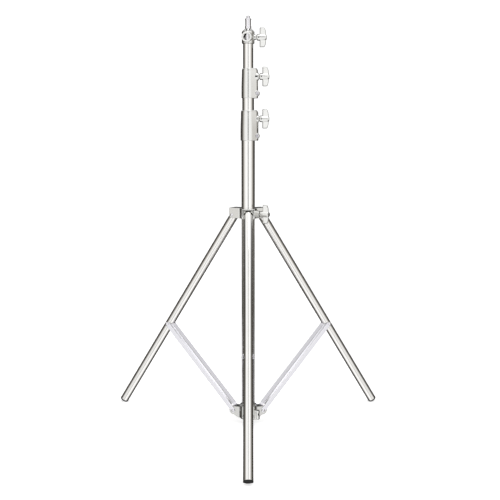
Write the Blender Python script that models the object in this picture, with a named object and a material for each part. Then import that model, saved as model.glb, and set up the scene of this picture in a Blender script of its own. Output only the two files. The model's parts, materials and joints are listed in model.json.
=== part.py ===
"""A three-section telescoping lighting stand in stainless steel, with a folding three-leg base.

Everything hangs from the empty "stand", whose origin is the centre of the column's foot print on the floor.
The column's axis is the stand's own Z axis. One leg points to -Y, and the other two lie 120 degrees to each
side of it. Each leg hinges in the sliding top spider and is braced from the fixed lower spider.
"""

import math
from math import radians

import bmesh
import bpy
from mathutils import Matrix, Vector

# Tubes: outer radius and wall of each size.
BASE_R, MID_R, TOP_R, LEG_R = 0.01905, 0.01665, 0.0143, 0.0127
COLUMN_WALL = 0.0014
LEG_WALL = 0.0013
GAP = 0.0003

# Column heights above the floor.
BASE_BOTTOM = 0.0195
LOWER_COLLAR = (0.829, 0.914)
UPPER_COLLAR = (0.947, 1.030)
TUBE_END_BELOW_COLLAR_TOP = 0.040
HEAD_BOTTOM, HEAD_SHOULDER, HEAD_TOP = 1.0972, 1.130, 1.1375
SPIGOT_TOP = 1.1727

# Collars: sleeve radius at the foot and at the top corner, reach of the keel and radius of its nose.
LOWER_SLEEVE = (0.0216, 0.0188)
UPPER_SLEEVE = (0.0187, 0.0160)
KEEL_REACH = (0.0291, 0.0280)
NOSE_R = 0.0090
COLLAR_KNOB_BELOW_TOP = (0.0240, 0.0229)
CLAMP_SCREW_ABOVE_FOOT = 0.0135
CLAMP_SCREW_X = 0.0257
COLLAR_LIP = 0.0110
COLLAR_CORNER_R = 0.0080
KNOB_BOSS_R, CLAMP_BOSS_R = 0.0110, 0.0075

# Head casting: body radius, depth of its plug in the tube, bosses of the crossing socket and of the knob.
HEAD_R, HEAD_RIM_R = 0.0177, 0.0104
HEAD_PLUG_DEPTH = 0.0400
SOCKET_FLOOR = HEAD_BOTTOM + 0.0030
CROSS_BOSS_R, CROSS_BOSS_REACH = 0.0145, 0.0203
HEAD_KNOB_BOSS_R = 0.0072

# Spigot: 16 mm body, wider foot and rim, and the threaded tip.
SPIGOT_R, SPIGOT_COLLAR_R, TIP_R = 0.00795, 0.0089, 0.00475
TIP_LENGTH, STEP_HEIGHT = 0.0072, 0.0072
THREAD_PITCH, THREAD_TURNS = 0.00159, 4

# Folding base.
LEG_AZIMUTHS = {"front": -90.0, "right": 30.0, "left": 150.0}
LEG_PIVOT = (0.0444, 0.6183)
BRACE_PIVOT = (0.0446, 0.0390)
FOOT_RING_R = 0.4536
FOOT_RING_HEIGHT = 0.0129
RIVET_SHARE = 0.5698
FOOT_LIP_R = 0.0129
SPIDER_TOP, SPIDER_BOTTOM = 0.6392, 0.6090
SPIDER_RING_R = 0.0255
SPIDER_BOSS_R = 0.0098
LUG_ROOT, LUG_ROOF = 0.0195, 0.0044
LUG_HALF_WIDTH, LUG_SLOT_HALF = 0.0180, 0.0134
LUG_REACH = 0.0528
SPIDER_KNOB_Z = 0.6225
SPIDER_KNOB_AZIMUTH = -30.0
SET_SCREW_Z = 0.0365
HUB_R, HUB_TOP = 0.0255, 0.0630
HUB_EYE_R = 0.0128
PILLAR_R, PILLAR_X, PILLAR_TOP = 0.0095, 0.0277, 0.0478
BOLT_R, BOLT_HEAD_R, BOLT_HEAD = 0.0030, 0.0044, 0.0014
PIN_R, PIN_HEAD_R, PIN_HEAD = 0.0029, 0.0040, 0.0012
PIVOT_HOLE_R = 0.0033
TUBE_ABOVE_PIVOT = 0.0050
FOOT_LIP = 0.0042

# Pressed brace channel.
CHANNEL_INNER_HALF, CHANNEL_WALL = 0.0132, 0.0013
WEB_OFFSET = 0.0110
FLANGE_DROP = 0.0058
CHANNEL_BEND = 0.0024
BRACE_END_R = 0.0066
WEB_STARTS = 0.0165
NOTCH_SIDE, NOTCH_DEPTH = 0.0135, 0.0265
RIVET_HEAD_R, RIVET_SHANK_R = 0.0052, 0.0029

# T-shaped clamp knobs.
KNOB_LENGTH, KNOB_HUB_R, KNOB_SPAN = 0.0290, 0.0092, 0.0270
KNOB_BORE = 0.0165
STUD_R = 0.0040
SHOE_THICKNESS = 0.0022
HEAD_KNOB_Z, HEAD_KNOB_REACH = 1.1145, 0.0228
COLLAR_KNOB_REACH, SPIDER_KNOB_REACH = 0.0306, 0.0392
CROSS_SOCKET_AZIMUTH = -103.0
SOCKET_R = 0.0083

# Nylon sliders on the risers' lower ends: height of the part below the tube, and of the plug inside it.
GUIDE_HEIGHT, GUIDE_PLUG = 0.0180, 0.0120
MID_FOOT = BASE_BOTTOM + 0.0155
TOP_FOOT = MID_FOOT + 0.0310

# Facets of the round pieces, and how far a cutter runs past what it cuts.
ROUND, SMALL_ROUND = 24, 12
PAST = 0.03


def leg_angle():
    """Angle between a leg and the column, from the leg's pivot and the ring that the feet stand on."""
    return math.atan2(FOOT_RING_R - LEG_PIVOT[0], LEG_PIVOT[1] - FOOT_RING_HEIGHT)


def leg_length():
    """Pivot to the end face of the foot, whose lowest rim point touches the floor."""
    return (LEG_PIVOT[1] - FOOT_LIP_R * math.sin(leg_angle())) / math.cos(leg_angle())


def rivet_distance():
    run = math.hypot(FOOT_RING_R - LEG_PIVOT[0], LEG_PIVOT[1] - FOOT_RING_HEIGHT)
    return RIVET_SHARE * run


def brace_line():
    """Length and angle to the column of a brace, pivot to rivet."""
    across = LEG_PIVOT[0] + rivet_distance() * math.sin(leg_angle()) - BRACE_PIVOT[0]
    up = LEG_PIVOT[1] - rivet_distance() * math.cos(leg_angle()) - BRACE_PIVOT[1]
    return math.hypot(across, up), math.atan2(across, up)


def column_offset():
    """How far behind the middle of the foot print the column stands, since one leg points forwards."""
    end = LEG_PIVOT[0] + leg_length() * math.sin(leg_angle())
    front = end + FOOT_LIP_R * math.cos(leg_angle())
    across = math.sin(leg_angle()) * math.sin(radians(30))
    rear = end * math.sin(radians(30)) + FOOT_LIP_R * math.sqrt(1 - across**2)
    return (front - rear) / 2


def clear_scene():
    for item in list(bpy.data.objects):
        bpy.data.objects.remove(item)


def material(name, colour, metallic, roughness):
    made = bpy.data.materials.new(name)
    made.use_nodes = True
    shader = made.node_tree.nodes["Principled BSDF"]
    shader.inputs["Base Color"].default_value = (*colour, 1.0)
    shader.inputs["Metallic"].default_value = metallic
    shader.inputs["Roughness"].default_value = roughness
    return made


def empty(name, parent, location=(0, 0, 0), azimuth=0.0):
    made = bpy.data.objects.new(name, None)
    bpy.context.scene.collection.objects.link(made)
    made.parent = parent
    made.location = location
    made.rotation_euler = (0, 0, radians(azimuth))
    return made


def solid(name, mesh, finish, parent, location=(0, 0, 0), rotation=(0, 0, 0)):
    """One visible piece, shaded smooth except at its sharp edges."""
    mesh.materials.clear()
    mesh.materials.append(finish)
    mesh.shade_smooth()
    mesh.set_sharp_from_angle(angle=radians(35))
    made = bpy.data.objects.new(name, mesh)
    bpy.context.scene.collection.objects.link(made)
    made.parent = parent
    made.location = location
    made.rotation_euler = rotation
    return made


def mesh_of(build):
    """A mesh from a bmesh whose faces are turned outwards."""
    bmesh.ops.recalc_face_normals(build, faces=build.faces)
    mesh = bpy.data.meshes.new("shape")
    build.to_mesh(mesh)
    build.free()
    return mesh


def turned(outline, segments=ROUND):
    """A body of revolution about Z. An outline that starts and ends at radius 0 is capped by those points;
    any other outline is a closed loop, so the body has a hole through it."""
    build = bmesh.new()
    rings = []
    for radius, height in outline:
        if radius < 1e-6:
            rings.append([build.verts.new((0, 0, height))])
            continue
        turns = [2 * math.pi * i / segments for i in range(segments)]
        rings.append([build.verts.new((radius * math.cos(t), radius * math.sin(t), height)) for t in turns])
    capped = len(rings[0]) == 1
    for index in range(len(rings) - 1 if capped else len(rings)):
        low, high = rings[index], rings[(index + 1) % len(rings)]
        for i in range(segments):
            j = (i + 1) % segments
            corners = [low[i % len(low)], low[j % len(low)], high[j % len(high)], high[i % len(high)]]
            build.faces.new(list(dict.fromkeys(corners)))
    return mesh_of(build)


def prism(outline, low, high):
    """A closed outline in X and Y, extruded from low to high along Z."""
    build = bmesh.new()
    face = build.faces.new([build.verts.new((x, y, low)) for x, y in outline])
    grown = bmesh.ops.extrude_face_region(build, geom=[face])["geom"]
    lifted = [item for item in grown if isinstance(item, bmesh.types.BMVert)]
    bmesh.ops.translate(build, verts=lifted, vec=(0, 0, high - low))
    return mesh_of(build)


def stacked(sections):
    """A solid through several outlines of equal length, each a list of points in space."""
    build = bmesh.new()
    rings = [[build.verts.new(point) for point in section] for section in sections]
    for low, high in zip(rings, rings[1:]):
        for i in range(len(low)):
            j = (i + 1) % len(low)
            build.faces.new((low[i], low[j], high[j], high[i]))
    build.faces.new(rings[0][::-1])
    build.faces.new(rings[-1])
    return mesh_of(build)


def moved(mesh, matrix):
    mesh.transform(matrix)
    return mesh


def along(direction, start=(0, 0, 0)):
    """The matrix that turns +Z to a direction and sets it off from a start point."""
    turn = Vector((0, 0, 1)).rotation_difference(Vector(direction)).to_matrix().to_4x4()
    return Matrix.Translation(Vector(start)) @ turn


def rod(radius, start, end, segments=SMALL_ROUND):
    """A plain round bar between two points."""
    span = Vector(end) - Vector(start)
    outline = [(0, 0), (radius, 0), (radius, span.length), (0, span.length)]
    return moved(turned(outline, segments), along(span, start))


def box(low, high):
    outline = [(low[0], low[1]), (high[0], low[1]), (high[0], high[1]), (low[0], high[1])]
    return prism(outline, low[2], high[2])


def arc(centre, radius, start, end, steps):
    """Points on a circle from one angle to another, in degrees."""
    turns = [radians(start + (end - start) * i / steps) for i in range(steps + 1)]
    return [(centre[0] + radius * math.cos(t), centre[1] + radius * math.sin(t)) for t in turns]


def in_triangles(mesh):
    """Flat faces only, which is what a Boolean needs where two curved shapes meet."""
    build = bmesh.new()
    build.from_mesh(mesh)
    bmesh.ops.remove_doubles(build, verts=build.verts, dist=1e-6)
    bmesh.ops.triangulate(build, faces=build.faces)
    build.to_mesh(mesh)
    build.free()
    return mesh


def combined(mesh, others, operation):
    """The mesh after a Boolean with each of the others in turn."""
    for other in others:
        holder = bpy.data.objects.new("boolean_work", in_triangles(mesh))
        tool = bpy.data.objects.new("boolean_tool", in_triangles(other))
        for item in (holder, tool):
            bpy.context.scene.collection.objects.link(item)
        step = holder.modifiers.new("step", "BOOLEAN")
        step.operation = operation
        step.solver = "EXACT"
        step.object = tool
        bpy.context.view_layer.update()
        graph = bpy.context.evaluated_depsgraph_get()
        mesh = bpy.data.meshes.new_from_object(holder.evaluated_get(graph))
        for item in (holder, tool):
            bpy.data.objects.remove(item)
    return mesh


def cut(mesh, *tools):
    return combined(mesh, tools, "DIFFERENCE")


def joined(mesh, *others):
    return combined(mesh, others, "UNION")


def tube(outer, inner, low, high, edge=0.0004, segments=ROUND):
    """A tube along Z with lightly broken outer edges."""
    outline = [(inner, low), (outer - edge, low), (outer, low + edge), (outer, high - edge)]
    return turned(outline + [(outer - edge, high), (inner, high)], segments)


def plug(radius, low, high, edge=0.0006, segments=ROUND):
    outline = [(0, low), (radius - edge, low), (radius, low + edge), (radius, high - edge)]
    return turned(outline + [(radius - edge, high), (0, high)], segments)


def teardrop(radius, reach, nose, height, steps=8):
    """The cross-section of a collar: a round sleeve whose tangents run to a keel with a round nose at +X."""
    centre = reach - nose
    tangent = 90 - math.degrees(math.asin((radius - nose) / centre))
    outline = arc((0, 0), radius, tangent, 360 - tangent, 2 * steps)
    outline += arc((centre, 0), nose, -tangent, tangent, steps)
    return [(x, y, height) for x, y in outline]


def collar_body(foot, top, sleeve, reach):
    """The sleeve with its keel: straight below, tapered above, with a rounded top corner."""
    low_r, top_r = sleeve
    taper_start = foot + 0.45 * (top - foot)
    shoulder = top - COLLAR_CORNER_R
    shoulder_r = low_r - 0.42 * (low_r - top_r)
    chamfer, lean, round_in, keel_in = 0.0009, 0.0006, 0.0022, 0.0050
    levels = [
        (foot, low_r - chamfer, reach - chamfer),
        (foot + chamfer, low_r, reach),
        (taper_start, low_r, reach),
        ((taper_start + shoulder) / 2, (low_r + shoulder_r) / 2, reach - lean / 3),
        (shoulder, shoulder_r, reach - lean),
    ]
    for turn in (30, 55, 75, 90):
        drop = 1 - math.cos(radians(turn))
        height = shoulder + COLLAR_CORNER_R * math.sin(radians(turn))
        levels.append((height, shoulder_r - round_in * drop, reach - lean - keel_in * drop))
    return stacked([teardrop(radius, far, NOSE_R, height) for height, radius, far in levels])


def collar(foot, top, sleeve, reach, tube_r, lip_r, knob_z):
    """A clamp collar: gripped to the tube below by its cross screw, and carrying the clamp knob's boss."""
    seat = top - TUBE_END_BELOW_COLLAR_TOP + GAP
    ceiling = top - COLLAR_LIP
    screw_z = foot + CLAMP_SCREW_ABOVE_FOOT
    boss_half, slit_half, slit_root = 0.0112, 0.0008, 0.0100
    knob_boss = rod(KNOB_BOSS_R, (slit_root, 0, knob_z), (COLLAR_KNOB_REACH - 2 * GAP, 0, knob_z), ROUND)
    boss_ends = [(CLAMP_SCREW_X, side * boss_half, screw_z) for side in (-1, 1)]
    screw_boss = rod(CLAMP_BOSS_R, *boss_ends, 16)
    mesh = joined(collar_body(foot, top, sleeve, reach), knob_boss, screw_boss)
    bore = [(0, foot - PAST), (tube_r + GAP, foot - PAST), (tube_r + GAP, ceiling), (lip_r + GAP, ceiling)]
    bore += [(lip_r + GAP, top + PAST), (0, top + PAST)]
    stud_hole = rod(STUD_R + GAP, (slit_root, 0, knob_z), (slit_root + 2 * PAST, 0, knob_z))
    slit = box((slit_root, -slit_half, foot - PAST), (slit_root + PAST, slit_half, seat - 0.006))
    screw_hole = rod(0.0028, (CLAMP_SCREW_X, -PAST, screw_z), (CLAMP_SCREW_X, PAST, screw_z))
    counterbore = rod(0.0050, (CLAMP_SCREW_X, -PAST, screw_z), (CLAMP_SCREW_X, 0.0020 - boss_half, screw_z))
    return cut(mesh, turned(bore), stud_hole, slit, screw_hole, counterbore)


def clamp_screw(screw_z):
    """The socket-head screw that pulls a collar's split keel together."""
    head = rod(0.0046, (CLAMP_SCREW_X, -0.0132, screw_z), (CLAMP_SCREW_X, -0.0095, screw_z))
    shank = rod(0.0025, (CLAMP_SCREW_X, -0.0100, screw_z), (CLAMP_SCREW_X, 0.0118, screw_z))
    socket = rod(0.0023, (CLAMP_SCREW_X, -PAST, screw_z), (CLAMP_SCREW_X, -0.0112, screw_z), 6)
    return cut(joined(shank, head), socket)


def bushing(outer_tube_r, inner_tube_r, low, high, knob_z):
    """The nylon ring that guides the riser in a collar, with a window for the brake pad."""
    ring = tube(outer_tube_r - 0.0001, inner_tube_r + 0.0002, low, high)
    return cut(ring, rod(0.0050, (0.008, 0, knob_z), (0.008 + PAST, 0, knob_z)))


def head_casting():
    """The casting on the top riser: a plug in the tube, the upright socket and the crossing one."""
    plug_r = TOP_R - COLUMN_WALL - GAP
    plug_foot = HEAD_BOTTOM - HEAD_PLUG_DEPTH
    edge = 0.0009
    outline = [(0, plug_foot), (plug_r, plug_foot), (plug_r, HEAD_BOTTOM), (HEAD_R - edge, HEAD_BOTTOM)]
    outline += [(HEAD_R, HEAD_BOTTOM + edge), (HEAD_R, HEAD_SHOULDER - edge), (HEAD_R - edge, HEAD_SHOULDER)]
    outline += [(HEAD_RIM_R, HEAD_TOP - edge), (HEAD_RIM_R - edge, HEAD_TOP), (0, HEAD_TOP)]
    turn = radians(CROSS_SOCKET_AZIMUTH)
    way = Vector((math.cos(turn), math.sin(turn), 0))
    centre = Vector((0, 0, HEAD_KNOB_Z))
    cross_boss = rod(CROSS_BOSS_R, centre - CROSS_BOSS_REACH * way, centre + CROSS_BOSS_REACH * way, ROUND)
    knob_boss = rod(HEAD_KNOB_BOSS_R, (0.010, 0, HEAD_KNOB_Z), (HEAD_KNOB_REACH - 2 * GAP, 0, HEAD_KNOB_Z))
    mesh = joined(turned(outline), cross_boss, knob_boss)
    upright = rod(SOCKET_R, (0, 0, SOCKET_FLOOR), (0, 0, HEAD_TOP + PAST), ROUND)
    crossing = rod(SOCKET_R + GAP, centre - PAST * way, centre + PAST * way, ROUND)
    stud_hole = rod(STUD_R + GAP, (STUD_R, 0, HEAD_KNOB_Z), (STUD_R + PAST, 0, HEAD_KNOB_Z))
    return cut(mesh, upright, crossing, stud_hole)


def spigot():
    """The 16 mm spigot: seated in the head's socket, with a wider foot, a flared rim and a threaded tip."""
    low, seat = SOCKET_FLOOR + GAP, HEAD_TOP + GAP
    step_top = HEAD_TOP + STEP_HEIGHT
    tip_foot = SPIGOT_TOP - TIP_LENGTH
    edge, depth = 0.0006, 0.0006
    outline = [(0, low), (SPIGOT_R - edge, low), (SPIGOT_R, low + edge), (SPIGOT_R, seat)]
    outline += [(SPIGOT_COLLAR_R, seat), (SPIGOT_COLLAR_R, step_top - edge)]
    outline += [(SPIGOT_COLLAR_R - edge, step_top), (SPIGOT_R, step_top)]
    outline += [(SPIGOT_R, tip_foot - 0.0044), (SPIGOT_COLLAR_R, tip_foot - 0.0022)]
    outline += [(SPIGOT_COLLAR_R, tip_foot - 0.0010), (SPIGOT_R, tip_foot), (TIP_R, tip_foot)]
    for i in range(THREAD_TURNS):
        foot = tip_foot + (i + 0.12) * THREAD_PITCH
        outline += [(TIP_R - depth, foot + 0.2 * THREAD_PITCH), (TIP_R, foot + 0.7 * THREAD_PITCH)]
    return turned(outline + [(TIP_R - depth, SPIGOT_TOP), (0, SPIGOT_TOP)])


def knob_handle():
    """A T knob about its own Z axis, with its bar along X. Z = 0 is the inner face of the hub."""
    outline = [(0, 0), (0.0070, 0), (KNOB_HUB_R, 0.0022), (KNOB_HUB_R, 0.0080), (0.0080, KNOB_LENGTH - 0.004)]
    outline += [(0.0068, KNOB_LENGTH - 0.0010), (0.0045, KNOB_LENGTH), (0, KNOB_LENGTH)]
    hub = turned(outline)
    inner, crown, corner = KNOB_HUB_R, KNOB_LENGTH - 0.0014, 0.0045
    edge, sag = 0.0012, 0.0032
    tip = KNOB_SPAN
    side = [(tip - edge, inner), (tip, inner + edge)]
    side += arc((tip - corner, crown - sag - corner), corner, 0, 75, 3)
    side += [(share * tip, crown - share**2 * sag) for share in (0.55, 0.3)]
    outline = side + [(-x, y) for x, y in reversed(side)]
    build = bmesh.new()
    for front in (1, -1):
        ring = []
        for x, z in outline:
            half = 0.0046 - 0.0014 * abs(x) / tip
            ring.append(build.verts.new((x, front * half, z)))
        build.faces.new(ring)
    build.verts.ensure_lookup_table()
    count = len(outline)
    for i in range(count):
        j = (i + 1) % count
        build.faces.new((build.verts[i], build.verts[j], build.verts[count + j], build.verts[count + i]))
    bar = mesh_of(build)
    return cut(joined(hub, bar), rod(STUD_R + GAP, (0, 0, -PAST), (0, 0, KNOB_BORE)))


def spider_lug():
    """One leg clevis of the top spider, reaching out along +X: two cheeks under a roof."""
    pivot_r, pivot_z = LEG_PIVOT
    round_r = pivot_z - SPIDER_BOTTOM
    corner = 0.0015
    side = [(LUG_ROOT, SPIDER_BOTTOM)]
    side += arc((LUG_REACH - round_r, pivot_z), round_r, -90, 0, 5)
    side += arc((LUG_REACH - corner, SPIDER_TOP - corner), corner, 0, 90, 3)
    side += [(LUG_ROOT, SPIDER_TOP)]
    lug = moved(prism(side, -LUG_HALF_WIDTH, LUG_HALF_WIDTH), Matrix.Rotation(math.pi / 2, 4, "X"))
    slot_floor = (SPIDER_RING_R + 0.0012, -LUG_SLOT_HALF, SPIDER_BOTTOM - PAST)
    slot = box(slot_floor, (LUG_REACH + PAST, LUG_SLOT_HALF, SPIDER_TOP - LUG_ROOF))
    hole = rod(PIVOT_HOLE_R, (pivot_r, -PAST, pivot_z), (pivot_r, PAST, pivot_z))
    return lug, slot, hole


def top_spider():
    """The sliding casting: a ring on the base tube, three clevises and the brake boss."""
    ring = rod(SPIDER_RING_R, (0, 0, SPIDER_BOTTOM), (0, 0, SPIDER_TOP), ROUND)
    lugs, slots = [], []
    for azimuth in LEG_AZIMUTHS.values():
        turn = Matrix.Rotation(radians(azimuth), 4, "Z")
        lug, slot, hole = spider_lug()
        lugs.append(moved(lug, turn))
        slots += [moved(slot, turn), moved(hole, turn)]
    turn = Matrix.Rotation(radians(SPIDER_KNOB_AZIMUTH), 4, "Z")
    boss_root = (BASE_R - GAP, 0, SPIDER_KNOB_Z)
    boss = rod(SPIDER_BOSS_R, boss_root, (SPIDER_KNOB_REACH - 2 * GAP, 0, SPIDER_KNOB_Z), ROUND)
    stud_hole = rod(STUD_R + GAP, (STUD_R, 0, SPIDER_KNOB_Z), (SPIDER_KNOB_REACH + PAST, 0, SPIDER_KNOB_Z))
    bore = rod(BASE_R + GAP, (0, 0, SPIDER_BOTTOM - PAST), (0, 0, SPIDER_TOP + PAST), ROUND)
    mesh = joined(ring, *lugs, moved(boss, turn))
    return cut(mesh, bore, moved(stud_hole, turn), *slots)


def hub_lug():
    """One lug of the lower spider along +X: a round eye that the brace's channel straddles."""
    eye_r, eye_z = BRACE_PIVOT
    root, floor = 0.0180, BASE_BOTTOM + 0.0005
    side = [(root, floor), (0.0290, floor)]
    side += arc((eye_r, eye_z), HUB_EYE_R, -100, 95, 10)
    side += [(root, eye_z + HUB_EYE_R + 0.0020)]
    lug = moved(prism(side, -LEG_R, LEG_R), Matrix.Rotation(math.pi / 2, 4, "X"))
    return lug, rod(PIVOT_HOLE_R, (eye_r, -PAST, eye_z), (eye_r, PAST, eye_z))


def lower_spider():
    """The fixed casting at the foot of the base tube, with the braces' lugs and the set-screw pillar."""
    edge = 0.0030
    outline = [(0, BASE_BOTTOM), (HUB_R - edge, BASE_BOTTOM), (HUB_R, BASE_BOTTOM + edge)]
    outline += [(HUB_R, HUB_TOP - edge), (HUB_R - 0.3 * edge, HUB_TOP - 0.3 * edge)]
    outline += [(HUB_R - edge, HUB_TOP), (0, HUB_TOP)]
    lugs, holes = [], []
    for azimuth in LEG_AZIMUTHS.values():
        turn = Matrix.Rotation(radians(azimuth), 4, "Z")
        lug, hole = hub_lug()
        lugs.append(moved(lug, turn))
        holes.append(moved(hole, turn))
    turn = Matrix.Rotation(radians(SPIDER_KNOB_AZIMUTH), 4, "Z")
    standing = Matrix.Translation((PILLAR_X, 0, 0))
    pillar = moved(plug(PILLAR_R, BASE_BOTTOM + GAP, PILLAR_TOP, edge / 2), standing)
    screw_hole = rod(STUD_R + GAP, (STUD_R, 0, SET_SCREW_Z), (PILLAR_X + PAST, 0, SET_SCREW_Z))
    bore = rod(BASE_R + GAP, (0, 0, 0), (0, 0, HUB_TOP + PAST), ROUND)
    mesh = joined(turned(outline), *lugs, moved(pillar, turn))
    return cut(mesh, bore, moved(screw_hole, turn), *holes)


def set_screw():
    """The socket set screw that locks the lower spider on the base tube."""
    end = PILLAR_X + 0.0075
    screw = rod(STUD_R, (BASE_R + 2 * GAP, 0, SET_SCREW_Z), (end, 0, SET_SCREW_Z))
    return cut(screw, rod(0.0025, (end - 0.0047, 0, SET_SCREW_Z), (end + PAST, 0, SET_SCREW_Z), 6))


def cross_pin(half_width, shank_r, head_r, head_thickness):
    """A headed pin along Y, centred on the origin."""
    mesh = rod(shank_r, (0, -half_width - GAP, 0), (0, half_width + GAP, 0))
    heads = []
    for side in (-1, 1):
        near, far = side * (half_width + GAP), side * (half_width + GAP + head_thickness)
        heads.append(rod(head_r, (0, near - side * 0.0001, 0), (0, far, 0)))
    return joined(mesh, *heads)


def leg_tube(length):
    """A leg tube hanging along -Z from its pivot, drilled for the pivot bolt."""
    pipe = tube(LEG_R, LEG_R - LEG_WALL, FOOT_LIP + GAP - length, TUBE_ABOVE_PIVOT, 0.0003)
    return cut(pipe, rod(PIVOT_HOLE_R, (0, -PAST, 0), (0, PAST, 0)))


def leg_cap():
    """The rounded cap in the leg's upper end, which the pivot bolt also passes through."""
    inner = LEG_R - LEG_WALL - GAP
    rim, dome, depth = TUBE_ABOVE_PIVOT + GAP, 0.0072, 0.0140
    outline = [(0, -depth), (inner, -depth), (inner, rim), (LEG_R, rim)]
    outline += [(LEG_R * math.cos(radians(t)), rim + dome * math.sin(radians(t))) for t in (15, 32, 50, 68)]
    return cut(turned(outline + [(0, rim + dome)]), rod(PIVOT_HOLE_R, (0, -PAST, 0), (0, PAST, 0)))


def leg_foot(length):
    """The black rubber plug in the leg's lower end; its lip stands on the floor."""
    inner = LEG_R - LEG_WALL - GAP
    shelf, plug_top, edge = FOOT_LIP - length, 0.0260 - length, 0.0010
    outline = [(0, plug_top), (inner - edge, plug_top), (inner, plug_top - edge), (inner, shelf)]
    return turned(outline + [(FOOT_LIP_R, shelf), (FOOT_LIP_R, -length), (0, -length)])


def brace(length):
    """A pressed U channel along +Z from its lower pivot. The web is on the -X side, towards the column."""
    outer_half = CHANNEL_INNER_HALF + CHANNEL_WALL
    back, lip = -(WEB_OFFSET + CHANNEL_WALL), FLANGE_DROP
    outside = arc((back + CHANNEL_BEND, outer_half - CHANNEL_BEND), CHANNEL_BEND, 90, 180, 4)
    section = [(lip, outer_half)] + outside + [(x, -y) for x, y in reversed(outside)] + [(lip, -outer_half)]
    channel = prism(section, -BRACE_END_R, length + BRACE_END_R)
    inside = box((-WEB_OFFSET, -CHANNEL_INNER_HALF, -PAST), (PAST, CHANNEL_INNER_HALF, length + PAST))
    half = CHANNEL_INNER_HALF - GAP
    lower_cut = box((-PAST, -half, -PAST), (GAP - WEB_OFFSET, half, WEB_STARTS))
    floor_depth = NOTCH_DEPTH - NOTCH_SIDE
    turns = [radians(t) for t in range(0, 181, 20)]
    mouth = [(half * math.cos(t), -NOTCH_SIDE - floor_depth * math.sin(t)) for t in turns]
    notch = prism([(half, PAST)] + mouth + [(-half, PAST)], -PAST, GAP)
    across = Matrix(((0, 0, 1, -WEB_OFFSET), (1, 0, 0, 0), (0, 1, 0, length), (0, 0, 0, 1)))
    ends = [end_rounding(0.0, -1), end_rounding(length, 1)]
    holes = [rod(PIVOT_HOLE_R, (0, -PAST, z), (0, PAST, z)) for z in (0.0, length)]
    return cut(channel, inside, lower_cut, moved(notch, across), *ends, *holes)


def end_rounding(centre, outward):
    """What is trimmed off a brace's flanges to round their ends about the hole at that end."""
    turns = [radians(t) for t in range(0, 181, 30)]
    rounded = [(FLANGE_DROP * math.cos(t), centre + outward * BRACE_END_R * math.sin(t)) for t in turns]
    far = centre + outward * PAST
    trim = prism([(PAST, centre)] + rounded + [(-PAST, centre), (-PAST, far), (PAST, far)], -PAST, PAST)
    return moved(trim, Matrix.Rotation(math.pi / 2, 4, "X"))


def rivet(side):
    """A rivet head on one flange of a brace. Its shank ends short of the leg, which can slide past it."""
    inner = CHANNEL_INNER_HALF + GAP
    outer = CHANNEL_INNER_HALF + CHANNEL_WALL + GAP
    rim, crown = 0.0006, 0.0021
    outline = [(0, inner), (RIVET_SHANK_R, inner), (RIVET_SHANK_R, outer), (RIVET_HEAD_R, outer)]
    for turn in (0, 40, 67, 90):
        dome_r = RIVET_HEAD_R * math.cos(radians(turn))
        outline.append((dome_r if turn < 90 else 0, outer + rim + crown * math.sin(radians(turn))))
    return moved(turned(outline, SMALL_ROUND), along((0, side, 0)))


def build_column(stand, steel, cast, chrome, nylon, black):
    base_top = LOWER_COLLAR[1] - TUBE_END_BELOW_COLLAR_TOP
    mid_top = UPPER_COLLAR[1] - TUBE_END_BELOW_COLLAR_TOP
    base_in, mid_in = BASE_R - COLUMN_WALL, MID_R - COLUMN_WALL
    knob_low = LOWER_COLLAR[1] - COLLAR_KNOB_BELOW_TOP[0]
    knob_high = UPPER_COLLAR[1] - COLLAR_KNOB_BELOW_TOP[1]
    solid("base_tube", tube(BASE_R, base_in, BASE_BOTTOM, base_top), steel, stand)
    solid("base_end_plug", plug(base_in - GAP, BASE_BOTTOM + 0.0010, BASE_BOTTOM + 0.0150), black, stand)
    lower = collar(*LOWER_COLLAR, LOWER_SLEEVE, KEEL_REACH[0], BASE_R, MID_R, knob_low)
    solid("lower_collar", lower, cast, stand)
    solid("lower_collar_screw", clamp_screw(LOWER_COLLAR[0] + CLAMP_SCREW_ABOVE_FOOT), chrome, stand)
    ring = bushing(BASE_R, MID_R, base_top + GAP, LOWER_COLLAR[1] - COLLAR_LIP - GAP, knob_low)
    solid("lower_bushing", ring, nylon, stand)

    solid("mid_tube", tube(MID_R, mid_in, MID_FOOT + GUIDE_HEIGHT, mid_top), steel, stand)
    solid("mid_tube_guide", tube_guide(base_in, mid_in, MID_FOOT), nylon, stand)
    upper = collar(*UPPER_COLLAR, UPPER_SLEEVE, KEEL_REACH[1], MID_R, TOP_R, knob_high)
    solid("upper_collar", upper, cast, stand)
    solid("upper_collar_screw", clamp_screw(UPPER_COLLAR[0] + CLAMP_SCREW_ABOVE_FOOT), chrome, stand)
    ring = bushing(MID_R, TOP_R, mid_top + GAP, UPPER_COLLAR[1] - COLLAR_LIP - GAP, knob_high)
    solid("upper_bushing", ring, nylon, stand)

    top_in = TOP_R - COLUMN_WALL
    solid("top_tube", tube(TOP_R, top_in, TOP_FOOT + GUIDE_HEIGHT, HEAD_BOTTOM - GAP), steel, stand)
    solid("top_tube_guide", tube_guide(mid_in, top_in, TOP_FOOT), nylon, stand)
    solid("head", head_casting(), cast, stand)
    solid("spigot", spigot(), chrome, stand)


def tube_guide(outer_bore, inner_bore, low):
    """The nylon slider on a riser's lower end: a collar running in the outer tube and a plug in the riser."""
    outer, inner, edge = outer_bore - GAP, inner_bore - GAP, 0.0006
    shelf, plug_top = low + GUIDE_HEIGHT - GAP, low + GUIDE_HEIGHT + GUIDE_PLUG
    outline = [(0, low), (outer - edge, low), (outer, low + edge), (outer, shelf), (inner, shelf)]
    return turned(outline + [(inner, plug_top), (0, plug_top)])


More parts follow.
